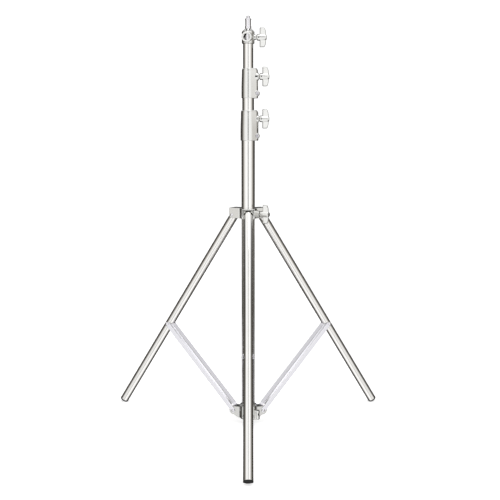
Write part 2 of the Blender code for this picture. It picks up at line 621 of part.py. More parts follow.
def build_knobs(stand, cast, chrome, brass):
    """Four T knobs, each with its stud and the brake shoe that the stud presses on the tube."""
    knob_low = LOWER_COLLAR[1] - COLLAR_KNOB_BELOW_TOP[0]
    knob_high = UPPER_COLLAR[1] - COLLAR_KNOB_BELOW_TOP[1]
    places = (
        ("head", 0.0, HEAD_KNOB_Z, HEAD_KNOB_REACH, SPIGOT_R),
        ("upper_collar", 0.0, knob_high, COLLAR_KNOB_REACH, TOP_R),
        ("lower_collar", 0.0, knob_low, COLLAR_KNOB_REACH, MID_R),
        ("spider", SPIDER_KNOB_AZIMUTH, SPIDER_KNOB_Z, SPIDER_KNOB_REACH, BASE_R),
    )
    handle = knob_handle()
    for name, azimuth, height, reach, tube_r in places:
        turn = radians(azimuth)
        way = Vector((math.cos(turn), math.sin(turn), 0))
        mount = empty(f"{name}_knob_axis", stand, way * reach + Vector((0, 0, height)))
        basis = Matrix((Vector((0, 0, 1)), Vector((math.sin(turn), -math.cos(turn), 0)), way)).transposed()
        mount.rotation_euler = basis.to_euler()
        solid(f"{name}_knob", handle.copy(), cast, mount)
        shoe_foot = tube_r + 2 * GAP - reach
        inner_end = shoe_foot + SHOE_THICKNESS + GAP
        solid(f"{name}_knob_stud", rod(STUD_R, (0, 0, inner_end), (0, 0, KNOB_BORE - GAP)), chrome, mount)
        shoe = plug(STUD_R, shoe_foot, inner_end - GAP, 0.0004, SMALL_ROUND)
        solid(f"{name}_brake_shoe", shoe, brass, mount)


def build_base(stand, steel, cast, chrome, zinc, black):
    solid("top_spider", top_spider(), cast, stand)
    solid("lower_spider", lower_spider(), cast, stand)
    screw_turn = (0, 0, radians(SPIDER_KNOB_AZIMUTH))
    solid("lower_spider_set_screw", set_screw(), black, stand, rotation=screw_turn)
    length, tilt = leg_length(), leg_angle()
    brace_length, brace_tilt = brace_line()
    for name, azimuth in LEG_AZIMUTHS.items():
        side = empty(f"{name}_side", stand, azimuth=azimuth)
        pivot = (LEG_PIVOT[0], 0, LEG_PIVOT[1])
        bolt = cross_pin(LUG_HALF_WIDTH, BOLT_R, BOLT_HEAD_R, BOLT_HEAD)
        solid(f"{name}_leg_bolt", bolt, chrome, side, pivot)
        leg_turn = (0, -tilt, 0)
        solid(f"{name}_leg_tube", leg_tube(length), steel, side, pivot, leg_turn)
        solid(f"{name}_leg_cap", leg_cap(), steel, side, pivot, leg_turn)
        solid(f"{name}_leg_foot", leg_foot(length), black, side, pivot, leg_turn)
        eye = (BRACE_PIVOT[0], 0, BRACE_PIVOT[1])
        pin = cross_pin(CHANNEL_INNER_HALF + CHANNEL_WALL, PIN_R, PIN_HEAD_R, PIN_HEAD)
        solid(f"{name}_brace_pin", pin, chrome, side, eye)
        solid(f"{name}_brace", brace(brace_length), zinc, side, eye, (0, brace_tilt, 0))
        for label, way in (("a", -1), ("b", 1)):
            head = moved(rivet(way), Matrix.Translation((0, 0, brace_length)))
            solid(f"{name}_rivet_{label}", head, cast, side, eye, (0, brace_tilt, 0))


def main():
    clear_scene()
    steel = material("polished_steel", (0.80, 0.79, 0.77), 1.0, 0.12)
    cast = material("satin_casting", (0.74, 0.74, 0.72), 1.0, 0.38)
    chrome = material("chrome", (0.78, 0.78, 0.80), 1.0, 0.10)
    zinc = material("zinc_pressing", (0.72, 0.71, 0.76), 1.0, 0.32)
    nylon = material("natural_nylon", (0.80, 0.79, 0.74), 0.0, 0.45)
    brass = material("brass", (0.78, 0.60, 0.30), 1.0, 0.35)
    black = material("black_rubber", (0.02, 0.02, 0.02), 0.0, 0.70)
    stand = empty("stand", None, (0, column_offset(), 0))
    build_column(stand, steel, cast, chrome, nylon, black)
    build_knobs(stand, cast, chrome, brass)
    build_base(stand, steel, cast, chrome, zinc, black)


main()
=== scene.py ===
"""Looks of the three-section lighting stand: fine meshes, metal and rubber materials, and a white studio.

Every piece made here is drawn in the stand's own frame, whose Z axis is the column's axis with the floor
at 0, and is then set on the column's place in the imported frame. Lengths are metres.
"""

import json
import math
from math import radians

import bmesh
import bpy
from mathutils import Matrix, Vector


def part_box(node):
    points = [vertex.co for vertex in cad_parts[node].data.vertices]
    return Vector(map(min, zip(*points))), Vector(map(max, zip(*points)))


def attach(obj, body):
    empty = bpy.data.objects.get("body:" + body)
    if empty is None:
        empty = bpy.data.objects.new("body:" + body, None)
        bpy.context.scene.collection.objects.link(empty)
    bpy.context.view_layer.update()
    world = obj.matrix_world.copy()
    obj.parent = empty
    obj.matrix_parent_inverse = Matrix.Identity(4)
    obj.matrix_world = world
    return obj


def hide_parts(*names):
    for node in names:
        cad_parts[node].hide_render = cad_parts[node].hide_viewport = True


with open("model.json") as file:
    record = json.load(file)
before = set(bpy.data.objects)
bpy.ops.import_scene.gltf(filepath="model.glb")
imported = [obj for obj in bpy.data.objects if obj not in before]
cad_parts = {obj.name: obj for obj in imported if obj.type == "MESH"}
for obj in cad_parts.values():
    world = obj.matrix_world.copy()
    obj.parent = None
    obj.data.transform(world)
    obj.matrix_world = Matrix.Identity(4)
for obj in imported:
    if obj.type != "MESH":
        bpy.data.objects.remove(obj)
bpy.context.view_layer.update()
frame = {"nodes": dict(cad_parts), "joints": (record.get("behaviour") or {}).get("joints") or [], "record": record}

# Where the stand stands, and what each node is made of and moves with.
BASE_LOW, BASE_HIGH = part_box("base_tube")
STAND = Matrix.Translation(((BASE_LOW.x + BASE_HIGH.x) / 2, (BASE_LOW.y + BASE_HIGH.y) / 2, 0))
BODY_OF = {node: body for body, nodes in frame["record"]["behaviour"]["bodies"].items() for node in nodes}
SLOT_OF = {part["node"]: part["material_slot"] for part in frame["record"]["subparts"]}
JOINTS = {joint["name"]: joint for joint in frame["joints"]}
LEG_AZIMUTHS = {"front": -90.0, "right": 30.0, "left": 150.0}

# Walls and clearances. PAST is how far a cutting tool stands out of what it cuts.
COLUMN_WALL, LEG_WALL, GAP = 0.0014, 0.0013, 0.0003
PAST = 0.03

# Grids of the castings' softened surfaces.
COLLAR_GRID, HEAD_GRID, KNOB_GRID, SPIDER_GRID = 0.00045, 0.00042, 0.00040, 0.00055

# Collars: sleeve radii at the foot and the top, reach and nose radius of the keel, radii of the two tubes,
# and how far the knob is below the top.
COLLARS = {
    "lower_collar": ((0.0216, 0.0188), 0.0291, 0.0125, 0.01905, 0.01665, 0.0240),
    "upper_collar": ((0.0187, 0.0160), 0.0280, 0.0100, 0.01665, 0.0143, 0.0229),
}
COLLAR_CORNER_R, COLLAR_LIP = 0.0080, 0.0110
COLLAR_KNOB_REACH, KNOB_BOSS_R, KNOB_BOSS_EDGE = 0.0306, 0.0110, 0.0028
SLIT_HALF, SLIT_BELOW_TOP = 0.0008, 0.046
# Where the cuts for the knobs' studs start, inside the bores, and where they end, outside the castings.
HOLE_FOOT, COLLAR_HOLE_END, SPIDER_HOLE_END = 0.010, 0.05, 0.06
HEAD_HOLE_FOOT, HEAD_HOLE_END = 0.004, 0.04

# The collars' clamp screws, which lie along Y.
CLAMP_SCREW_X, CLAMP_SCREW_ABOVE_FOOT, CLAMP_BOSS_R = 0.0257, 0.0135, 0.0075
CLAMP_BOSS_HALF, CLAMP_BOSS_EDGE, CLAMP_HOLE_R, CLAMP_WELL_R = 0.0112, 0.0036, 0.0028, 0.0050
CLAMP_HEAD_R, CLAMP_SHANK_R, CLAMP_HEX_R, CLAMP_HEX_TIP = 0.0046, 0.0025, 0.0020, 0.0014
CLAMP_HEAD_EDGE, CLAMP_SHANK_EDGE = 0.0020, 0.0004
CLAMP_HEAD_END, CLAMP_HEX_FLOOR, CLAMP_SHANK_FOOT = -0.0132, -0.0118, -0.0100
CLAMP_HEAD_FOOT, CLAMP_WELL_FLOOR, CLAMP_SHANK_END = -0.0095, -0.0092, 0.0118

# Head and spigot.
HEAD_BOTTOM, HEAD_SHOULDER, HEAD_TOP = 1.0972, 1.130, 1.1375
HEAD_R, HEAD_RIM_R, HEAD_PLUG_R, HEAD_PLUG_DEPTH = 0.0177, 0.0104, 0.0126, 0.040
SOCKET_FLOOR, SOCKET_R, CROSS_SOCKET_R, MOUTH_R = 1.1002, 0.0083, 0.0092, 0.0100
CROSS_AZIMUTH, CROSS_BOSS_R, CROSS_BOSS_REACH = -103.0, 0.0146, 0.0203
MOUTH_DEPTH, CROSS_BOSS_EDGE = 0.0008, 0.0010
HEAD_KNOB_Z, HEAD_KNOB_REACH, HEAD_KNOB_BOSS_R, HEAD_KNOB_BOSS_EDGE = 1.1145, 0.0228, 0.0072, 0.0020
SPIGOT_TOP, SPIGOT_R, SPIGOT_COLLAR_R, TIP_R = 1.1727, 0.00795, 0.0089, 0.00475
TIP_LENGTH, STEP_HEIGHT, THREAD_PITCH, THREAD_DEPTH = 0.0072, 0.0072, 0.00159, 0.0008

# Clamp knobs.
KNOB_LENGTH, KNOB_HUB_R, KNOB_SPAN, KNOB_BORE, STUD_R = 0.0290, 0.0092, 0.0270, 0.0165, 0.0040
KNOB_DRAFT, KNOB_RIM_R, KNOB_BAR_HALF = 0.10, 0.0028, 0.0050

# Spiders.
SPIDER_RING_R, LUG_HALF_WIDTH, LUG_SLOT_HALF, LUG_REACH, LUG_ROOF = 0.0255, 0.0180, 0.0134, 0.0528, 0.0044
SPIDER_BORE_R, LUG_FOOT_R, SLOT_BACK_SLOPE = 0.0194, 0.0195, 0.0045
SPIDER_BOSS_R, SPIDER_KNOB_Z, SPIDER_KNOB_REACH, SPIDER_KNOB_AZIMUTH = 0.0098, 0.6225, 0.0392, -30.0
HUB_R, HUB_TOP, HUB_EYE_R, HUB_LUG_HALF = 0.0255, 0.0630, 0.0128, 0.0127
PILLAR_R, PILLAR_X, PILLAR_TOP, SET_SCREW_Z = 0.0095, 0.0277, 0.0478, 0.0365

# Leg caps and feet.
CAP_RIM, CAP_TOP, CAP_CORNER, CAP_DOME, CAP_PLUG = 0.0050, 0.0089, 0.0028, 0.0008, 0.014
FOOT_R, FOOT_LIP, FOOT_PLUG, RIB_PITCH, RIB_DEPTH = 0.0129, 0.0042, 0.026, 0.0045, 0.0007

# Braces, pins and rivets. A pin's numbers are its shank and head radii, head height and recess radius.
CHANNEL_INNER_HALF, CHANNEL_WALL, CHANNEL_BEND = 0.0132, 0.0013, 0.0050
WEB_OFFSET, FLANGE_DROP, BRACE_END_R, WEB_STARTS, NOTCH_DEPTH = 0.0110, 0.0058, 0.0066, 0.0165, 0.0135
PIVOT_HOLE_R, RIM_R = 0.0033, 0.0009
LEG_BOLT, BRACE_PIN = (0.0030, 0.0044, 0.0014, 0.0025), (0.0029, 0.0040, 0.0012, 0.0016)
RIVET_R, RIVET_SHANK_R, RIVET_RIM, RIVET_CROWN, RIVET_DISH = 0.0052, 0.0029, 0.0006, 0.0021, 0.0003


# ---------------------------------------------------------------- meshes


def mesh_of(build):
    bmesh.ops.recalc_face_normals(build, faces=build.faces)
    mesh = bpy.data.meshes.new("shape")
    build.to_mesh(mesh)
    build.free()
    return mesh


def eased(points, radius, closed=False, steps=4):
    """An outline with each corner rounded off by a short curve."""
    made = []
    count = len(points)
    for i, corner in enumerate(points):
        if not closed and i in (0, count - 1):
            made.append(tuple(corner))
            continue
        here = Vector(corner)
        before = Vector(points[i - 1]) - here
        after = Vector(points[(i + 1) % count]) - here
        reach = min(radius, 0.45 * before.length, 0.45 * after.length)
        start = here + before.normalized() * reach
        end = here + after.normalized() * reach
        for step in range(steps + 1):
            t = step / steps
            made.append(tuple((1 - t) ** 2 * start + 2 * t * (1 - t) * here + t * t * end))
    return made


def supported(outline, ring):
    """The outline with extra points near the ends of its long spans, so that its flats are shaded flat."""
    made = []
    for start, end in zip(outline, outline[1:] + outline[:1] if ring else outline[1:]):
        made.append(start)
        span = Vector(end) - Vector(start)
        insets = [inset for inset in (0.0010, 0.0120) if span.length > 5 * inset]
        made += [tuple(Vector(start) + span.normalized() * inset) for inset in insets]
        made += [tuple(Vector(end) - span.normalized() * inset) for inset in reversed(insets)]
    return made if ring else made + [outline[-1]]


def turned(outline, segments=96):
    """A body of revolution about Z: solid if the outline starts and ends on the axis, else a ring."""
    build = bmesh.new()
    rings = []
    for radius, height in supported(outline, outline[0][0] > 1e-6):
        if radius < 1e-6:
            rings.append([build.verts.new((0, 0, height))])
            continue
        turns = [2 * math.pi * i / segments for i in range(segments)]
        rings.append([build.verts.new((radius * math.cos(t), radius * math.sin(t), height)) for t in turns])
    capped = len(rings[0]) == 1
    for index in range(len(rings) - 1 if capped else len(rings)):
        low, high = rings[index], rings[(index + 1) % len(rings)]
        for i in range(segments):
            j = (i + 1) % segments
            corners = [low[i % len(low)], low[j % len(low)], high[j % len(high)], high[i % len(high)]]
            build.faces.new(list(dict.fromkeys(corners)))
    return mesh_of(build)


def stacked(sections):
    """A closed solid through several outlines of equal length."""
    build = bmesh.new()
    rings = [[build.verts.new(point) for point in section] for section in sections]
    for low, high in zip(rings, rings[1:]):
        for i in range(len(low)):
            j = (i + 1) % len(low)
            build.faces.new((low[i], low[j], high[j], high[i]))
    build.faces.new(rings[0][::-1])
    build.faces.new(rings[-1])
    return mesh_of(build)


def prism(outline, low, high):
    """A closed outline in X and Y, from low to high along Z."""
    return stacked([[(x, y, z) for x, y in outline] for z in (low, high)])


def moved(mesh, matrix):
    mesh.transform(matrix)
    return mesh


def turn_z(degrees):
    return Matrix.Rotation(radians(degrees), 4, "Z")


def along(direction, start=(0, 0, 0)):
    """Turns +Z to a direction and sets it off from a start point."""
    turn = Vector((0, 0, 1)).rotation_difference(Vector(direction)).to_matrix().to_4x4()
    return Matrix.Translation(Vector(start)) @ turn


def rod(radius, start, end, edge=0.0, segments=64):
    """A round bar between two points, with rounded rims if edge is given."""
    span = Vector(end) - Vector(start)
    outline = [(0, 0), (radius, 0), (radius, span.length), (0, span.length)]
    if edge:
        outline = eased(outline, edge)
    return moved(turned(outline, segments), along(span, start))


def box(low, high):
    outline = [(low[0], low[1]), (high[0], low[1]), (high[0], high[1]), (low[0], high[1])]
    return prism(outline, low[2], high[2])


def arc(centre, radius, start, end, steps):
    turns = [radians(start + (end - start) * i / steps) for i in range(steps + 1)]
    return [(centre[0] + radius * math.cos(t), centre[1] + radius * math.sin(t)) for t in turns]


def upright(mesh):
    """A shape drawn in X and Y, stood up so that its Y becomes Z."""
    return moved(mesh, Matrix.Rotation(radians(90), 4, "X"))


def in_triangles(mesh):
    """Flat faces only, which is what a Boolean needs where two curved shapes meet."""
    build = bmesh.new()
    build.from_mesh(mesh)
    bmesh.ops.remove_doubles(build, verts=build.verts, dist=1e-6)
    bmesh.ops.triangulate(build, faces=build.faces)
    build.to_mesh(mesh)
    build.free()
    return mesh


def evaluated(mesh, set_up):
    """The mesh after one modifier, which set_up adds to an object."""
    holder = bpy.data.objects.new("work", mesh)
    bpy.context.scene.collection.objects.link(holder)
    set_up(holder)
    bpy.context.view_layer.update()
    graph = bpy.context.evaluated_depsgraph_get()
    made = bpy.data.meshes.new_from_object(holder.evaluated_get(graph))
    bpy.data.objects.remove(holder)
    return made


def combined(mesh, others, operation):
    """The mesh after a Boolean with each of the others in turn."""
    for other in others:
        tool = bpy.data.objects.new("tool", in_triangles(other))
        bpy.context.scene.collection.objects.link(tool)

        def set_up(holder, tool=tool):
            step = holder.modifiers.new("step", "BOOLEAN")
            step.operation = operation
            step.solver = "EXACT"
            step.object = tool

        mesh = evaluated(in_triangles(mesh), set_up)
        bpy.data.objects.remove(tool)
    return mesh


def cut(mesh, *tools):
    return combined(mesh, tools, "DIFFERENCE")


def joined(mesh, *others):
    return combined(mesh, others, "UNION")


def cast(mesh, grid):
    """A casting's softened surface: the solid on a fine grid, with its edges relaxed."""
    rounds = 8

    def set_up(holder):
        step = holder.modifiers.new("grid", "REMESH")
        step.mode = "VOXEL"
        step.voxel_size = grid
        step.adaptivity = 0.0

    made = evaluated(mesh, set_up)
    build = bmesh.new()
    build.from_mesh(made)
    for _ in range(rounds):
        axes = {"use_axis_x": True, "use_axis_y": True, "use_axis_z": True}
        bmesh.ops.smooth_vert(build, verts=build.verts, factor=0.5, **axes)
    build.to_mesh(made)
    build.free()
    return made


# ---------------------------------------------------------------- materials


def finish(name, colour, metallic, rough, grain, bump, spread):
    """A Principled material, with its roughness varied by its grain, in cycles per metre along X, Y and Z."""
    made = bpy.data.materials.new(name)
    made.use_nodes = True
    nodes, links = made.node_tree.nodes, made.node_tree.links
    shader = nodes["Principled BSDF"]
    shader.inputs["Metallic"].default_value = metallic
    place = nodes.new("ShaderNodeTexCoord")
    mapping = nodes.new("ShaderNodeMapping")
    mapping.inputs["Scale"].default_value = grain
    links.new(place.outputs["Object"], mapping.inputs["Vector"])
    fine = nodes.new("ShaderNodeTexNoise")
    fine.inputs["Scale"].default_value = 1.0
    fine.inputs["Detail"].default_value = 5.0
    fine.inputs["Roughness"].default_value = 0.6
    links.new(mapping.outputs["Vector"], fine.inputs["Vector"])
    broad = nodes.new("ShaderNodeTexNoise")
    broad.inputs["Scale"].default_value = 35.0
    broad.inputs["Detail"].default_value = 3.0
    links.new(place.outputs["Object"], broad.inputs["Vector"])
    blend = nodes.new("ShaderNodeMath")
    blend.operation = "MULTIPLY_ADD"
    links.new(fine.outputs["Fac"], blend.inputs[0])
    blend.inputs[1].default_value = 0.6
    links.new(broad.outputs["Fac"], blend.inputs[2])
    level = nodes.new("ShaderNodeMapRange")
    level.inputs["From Min"].default_value = 0.5
    level.inputs["From Max"].default_value = 1.1
    level.inputs["To Min"].default_value = rough[0]
    level.inputs["To Max"].default_value = rough[1]
    links.new(blend.outputs["Value"], level.inputs["Value"])
    links.new(level.outputs["Result"], shader.inputs["Roughness"])
    tone = nodes.new("ShaderNodeValToRGB")
    tone.color_ramp.elements[0].position = 0.35
    tone.color_ramp.elements[1].position = 0.65
    tone.color_ramp.elements[0].color = (*(c * (1 - spread) for c in colour), 1.0)
    tone.color_ramp.elements[1].color = (*(min(1.0, c * (1 + spread)) for c in colour), 1.0)
    links.new(broad.outputs["Fac"], tone.inputs["Fac"])
    links.new(tone.outputs["Color"], shader.inputs["Base Color"])
    relief = nodes.new("ShaderNodeBump")
    relief.inputs["Strength"].default_value = bump
    relief.inputs["Distance"].default_value = 0.0002
    links.new(fine.outputs["Fac"], relief.inputs["Height"])
    links.new(relief.outputs["Normal"], shader.inputs["Normal"])
    return made


# Name, colour, metallic, least and most roughness, grain, bump and spread of the colour.
LOOKS = (
    ("polished_steel", (0.88, 0.87, 0.85), 1.0, (0.04, 0.09), (900, 900, 14), 0.01, 0.010),
    ("satin_casting", (0.78, 0.78, 0.76), 1.0, (0.07, 0.13), (700, 700, 700), 0.01, 0.010),
    ("bright_steel", (0.86, 0.85, 0.88), 1.0, (0.06, 0.12), (700, 700, 700), 0.01, 0.010),
    ("zinc_pressing", (0.95, 0.94, 0.99), 1.0, (0.08, 0.14), (500, 500, 40), 0.01, 0.010),
    ("nylon", (0.80, 0.79, 0.72), 0.0, (0.35, 0.50), (400, 400, 400), 0.08, 0.04),
    ("brass", (0.80, 0.60, 0.30), 1.0, (0.25, 0.40), (200, 200, 900), 0.08, 0.04),
    ("black_rubber", (0.009, 0.009, 0.008), 0.0, (0.45, 0.70), (700, 700, 700), 0.35, 0.15),
    ("black_steel", (0.015, 0.015, 0.016), 0.3, (0.30, 0.45), (600, 600, 600), 0.15, 0.10),
)
FINISHES = {look[0]: finish(*look) for look in LOOKS}


def show(node, mesh, place=None, sharp=32):
    """Sets a fine mesh in the place of a node: it rides on that node's body and takes its finish."""
    mesh.materials.clear()
    mesh.materials.append(FINISHES[SLOT_OF[node]])
    mesh.shade_smooth()
    mesh.set_sharp_from_angle(angle=radians(sharp))
    made = bpy.data.objects.new(f"{node}_fine", mesh)
    bpy.context.scene.collection.objects.link(made)
    made.matrix_world = STAND @ (place or Matrix.Identity(4))
    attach(made, BODY_OF[node])
    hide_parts(node)


# ---------------------------------------------------------------- column


def tube(outer, wall, low, high, edge=0.0005):
    outline = [(outer - wall, low), (outer, low), (outer, high), (outer - wall, high)]
    return turned(eased(outline, edge, closed=True), 128)


def column_tubes():
    for node in ("base_tube", "mid_tube", "top_tube"):
        low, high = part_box(node)
        show(node, tube((high.x - low.x) / 2, COLUMN_WALL, low.z, high.z))


def teardrop(radius, reach, nose, height):
    """A collar's section: a round sleeve whose tangents run to a keel with a round nose at +X."""
    centre = reach - nose
    tangent = 90 - math.degrees(math.asin((radius - nose) / centre))
    outline = arc((0, 0), radius, tangent, 360 - tangent, 56)
    outline += arc((centre, 0), nose, -tangent, tangent, 28)
    return [(x, y, height) for x, y in outline]


def collar_rows(foot, top, sleeve, reach):
    """Height, sleeve radius and reach, from the chamfered foot up to the rounded top corner."""
    low_r, top_r = sleeve
    chamfer, lean, round_in, keel_in = 0.0009, 0.0006, 0.0022, 0.0050
    shoulder = top - COLLAR_CORNER_R
    rows = [(foot, low_r - chamfer, reach - chamfer)]
    for step in range(25):
        share = max(0.0, step / 24 - 0.35) / 0.65
        ease = share * share * (3 - 2 * share)
        height = foot + chamfer + (shoulder - foot - chamfer) * step / 24
        rows.append((height, low_r - 0.42 * (low_r - top_r) * ease, reach - lean * ease))
    shoulder_r = rows[-1][1]
    for turn in range(10, 91, 10):
        drop = 1 - math.cos(radians(turn))
        height = shoulder + COLLAR_CORNER_R * math.sin(radians(turn))
        rows.append((height, shoulder_r - round_in * drop, reach - lean - keel_in * drop))
    return rows


def collar(node):
    sleeve, reach, nose, tube_r, lip_r, knob_below_top = COLLARS[node]
    low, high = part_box(node)
    foot, top = low.z, high.z
    knob_z, screw_z = top - knob_below_top, foot + CLAMP_SCREW_ABOVE_FOOT
    body = stacked([teardrop(r, far, nose, z) for z, r, far in collar_rows(foot, top, sleeve, reach)])
    face = (COLLAR_KNOB_REACH - 2 * GAP, 0, knob_z)
    knob_boss = rod(KNOB_BOSS_R, (HOLE_FOOT, 0, knob_z), face, KNOB_BOSS_EDGE)
    ends = [(CLAMP_SCREW_X, side * CLAMP_BOSS_HALF, screw_z) for side in (-1, 1)]
    body = joined(body, knob_boss, rod(CLAMP_BOSS_R, *ends, CLAMP_BOSS_EDGE))
    ceiling = top - COLLAR_LIP
    bore = [(0, foot - PAST), (tube_r + GAP, foot - PAST), (tube_r + GAP, ceiling), (lip_r + GAP, ceiling)]
    bore += [(lip_r + GAP, top + PAST), (0, top + PAST)]
    slit_low = (HOLE_FOOT, -SLIT_HALF, foot - PAST)
    slit_high = (COLLAR_HOLE_END, SLIT_HALF, top - SLIT_BELOW_TOP)
    screw_hole = rod(CLAMP_HOLE_R, *on_screw(-PAST, PAST, screw_z))
    counterbore = rod(CLAMP_WELL_R, *on_screw(-PAST, CLAMP_WELL_FLOOR, screw_z))
    hole = stud_hole(knob_z, HOLE_FOOT, COLLAR_HOLE_END)
    body = cut(body, turned(bore), hole, box(slit_low, slit_high), screw_hole, counterbore)
    show(node, cast(body, COLLAR_GRID))
    show(f"{node}_screw", clamp_screw(screw_z))


def stud_hole(height, start, end):
    """The hole for a knob's stud, along +X."""
    return rod(STUD_R + GAP, (start, 0, height), (end, 0, height))


def on_screw(start, end, height):
    """Two points on a clamp screw's axis."""
    return (CLAMP_SCREW_X, start, height), (CLAMP_SCREW_X, end, height)


def clamp_screw(height):
    """The screw that clamps a collar: a domed head at -Y, with a hexagonal socket."""
    dome = rod(CLAMP_HEAD_R, *on_screw(CLAMP_HEAD_END, CLAMP_HEAD_FOOT, height), CLAMP_HEAD_EDGE, 48)
    shank = rod(CLAMP_SHANK_R, *on_screw(CLAMP_SHANK_FOOT, CLAMP_SHANK_END, height), CLAMP_SHANK_EDGE, 48)
    socket = turned([(0, -PAST), (CLAMP_HEX_R, -PAST), (CLAMP_HEX_R, 0), (0, CLAMP_HEX_TIP)], 6)
    socket = moved(socket, along((0, 1, 0), (CLAMP_SCREW_X, CLAMP_HEX_FLOOR, height)))
    return cut(joined(shank, dome), socket)


def head():
    edge = 0.0009
    foot = HEAD_BOTTOM - HEAD_PLUG_DEPTH
    outline = [(0, foot), (HEAD_PLUG_R, foot), (HEAD_PLUG_R, HEAD_BOTTOM), (HEAD_R, HEAD_BOTTOM)]
    outline += [(HEAD_R, HEAD_SHOULDER), (HEAD_RIM_R, HEAD_TOP - edge)]
    outline += [(HEAD_RIM_R - edge, HEAD_TOP), (0, HEAD_TOP)]
    turn = radians(CROSS_AZIMUTH)
    way = Vector((math.cos(turn), math.sin(turn), 0))
    centre = Vector((0, 0, HEAD_KNOB_Z))
    ends = [centre - CROSS_BOSS_REACH * way, centre + CROSS_BOSS_REACH * way]
    face = (HEAD_KNOB_REACH - 2 * GAP, 0, HEAD_KNOB_Z)
    knob_boss = rod(HEAD_KNOB_BOSS_R, (HOLE_FOOT, 0, HEAD_KNOB_Z), face, HEAD_KNOB_BOSS_EDGE)
    body = joined(turned(eased(outline, edge)), rod(CROSS_BOSS_R, *ends, CROSS_BOSS_EDGE, 96), knob_boss)
    tools = [rod(SOCKET_R, (0, 0, SOCKET_FLOOR), (0, 0, HEAD_TOP + PAST), 0, 96)]
    tools.append(rod(CROSS_SOCKET_R, centre - PAST * way, centre + PAST * way, 0, 96))
    outline = [(0, 0), (MOUTH_R, 0), (CROSS_SOCKET_R, MOUTH_DEPTH), (0, MOUTH_DEPTH)]
    reach = CROSS_BOSS_REACH + 0.0001
    for side in (-1, 1):
        tools.append(moved(turned(outline), along(-side * way, centre + side * reach * way)))
    tools.append(stud_hole(HEAD_KNOB_Z, HEAD_HOLE_FOOT, HEAD_HOLE_END))
    show("head", cast(cut(body, *tools), HEAD_GRID))


def spigot():
    low, seat = SOCKET_FLOOR + GAP, HEAD_TOP + GAP
    step_top, tip_foot = HEAD_TOP + STEP_HEIGHT, SPIGOT_TOP - TIP_LENGTH
    outline = [(0, low), (SPIGOT_R, low), (SPIGOT_R, seat), (SPIGOT_COLLAR_R, seat)]
    outline += [(SPIGOT_COLLAR_R, step_top), (SPIGOT_R, step_top + 0.0004), (SPIGOT_R, tip_foot - 0.0044)]
    outline += [(SPIGOT_COLLAR_R, tip_foot - 0.0022), (SPIGOT_COLLAR_R, tip_foot - 0.0010)]
    outline += [(SPIGOT_R, tip_foot), (0, tip_foot)]
    body = turned(eased(outline, 0.0004))
    tip = threaded(TIP_R, tip_foot - 0.001, SPIGOT_TOP)
    show("spigot", joined(body, tip), sharp=40)


def threaded(radius, low, high, segments=64, rows=56):
    """A threaded pin about Z: one helical ridge, cut off by a chamfer at the top."""
    build = bmesh.new()
    rings = []
    for row in range(rows + 1):
        height = low + (high - low) * row / rows
        chamfer = max(0.0, 0.0009 - (high - height))
        ring = []
        for i in range(segments):
            phase = (height / THREAD_PITCH - i / segments) % 1.0
            ridge = min(1.0, 1.6 * (1 - abs(2 * phase - 1)))
            reach = min(radius - THREAD_DEPTH * (1 - ridge), radius - chamfer)
            turn = 2 * math.pi * i / segments
            ring.append(build.verts.new((reach * math.cos(turn), reach * math.sin(turn), height)))
        rings.append(ring)
    for lower, upper in zip(rings, rings[1:]):
        for i in range(segments):
            j = (i + 1) % segments
            build.faces.new((lower[i], lower[j], upper[j], upper[i]))
    build.faces.new(rings[0][::-1])
    build.faces.new(rings[-1])
    return mesh_of(build)


# ---------------------------------------------------------------- knobs


def knob_handle():
    """A T knob about its own Z axis, with its bar along X. Z = 0 is the inner face of the hub."""
    outline = [(0, 0), (0.0060, 0), (KNOB_HUB_R, 0.0030), (KNOB_HUB_R, 0.0080)]
    outline += [(0.0080, KNOB_LENGTH - 0.004), (0.0068, KNOB_LENGTH - 0.0010)]
    outline += [(0.0045, KNOB_LENGTH), (0, KNOB_LENGTH)]
    hub = turned(eased(outline, 0.0012))
    inner, crown, corner, sag = KNOB_HUB_R, KNOB_LENGTH - 0.0014, 0.0045, 0.0032
    side = [(KNOB_SPAN - 0.0012, inner), (KNOB_SPAN, inner + 0.0012)]
    side += arc((KNOB_SPAN - corner, crown - sag - corner), corner, 0, 80, 8)
    side += [(share * KNOB_SPAN, crown - share**2 * sag) for share in (0.7, 0.55, 0.4, 0.25, 0.1)]
    outline = side + [(-x, z) for x, z in reversed(side)]
    middle = (inner + crown) / 2
    sections = []
    for turn in (-85, -60, -35, -10, 10, 35, 60, 85):
        share, inset = math.sin(radians(turn)), KNOB_RIM_R * (1 - math.cos(radians(turn)))
        shrink = 1 - 2 * inset / (crown - inner)
        ring = []
        for x, z in outline:
            half = KNOB_BAR_HALF - KNOB_DRAFT * (z - inner)
            ring.append((x * (1 - inset / KNOB_SPAN), share * half, middle + (z - middle) * shrink))
        sections.append(ring)
    body = joined(hub, stacked(sections))
    return cast(cut(body, rod(STUD_R + GAP, (0, 0, -0.01), (0, 0, KNOB_BORE))), KNOB_GRID)


def knobs():
    handle = knob_handle()
    for name in ("head", "upper_collar", "lower_collar", "spider"):
        joint = name.removesuffix("_collar") + "_knob_turn"
        way = Vector(JOINTS[joint]["axis"])
        side = Vector((way.y, -way.x, 0))
        turn = Matrix((Vector((0, 0, 1)), side, way)).transposed().to_4x4()
        centre = STAND.inverted() @ Vector(JOINTS[joint]["pos_m"])
        show(f"{name}_knob", handle.copy(), Matrix.Translation(centre) @ turn)


# ---------------------------------------------------------------- folding base


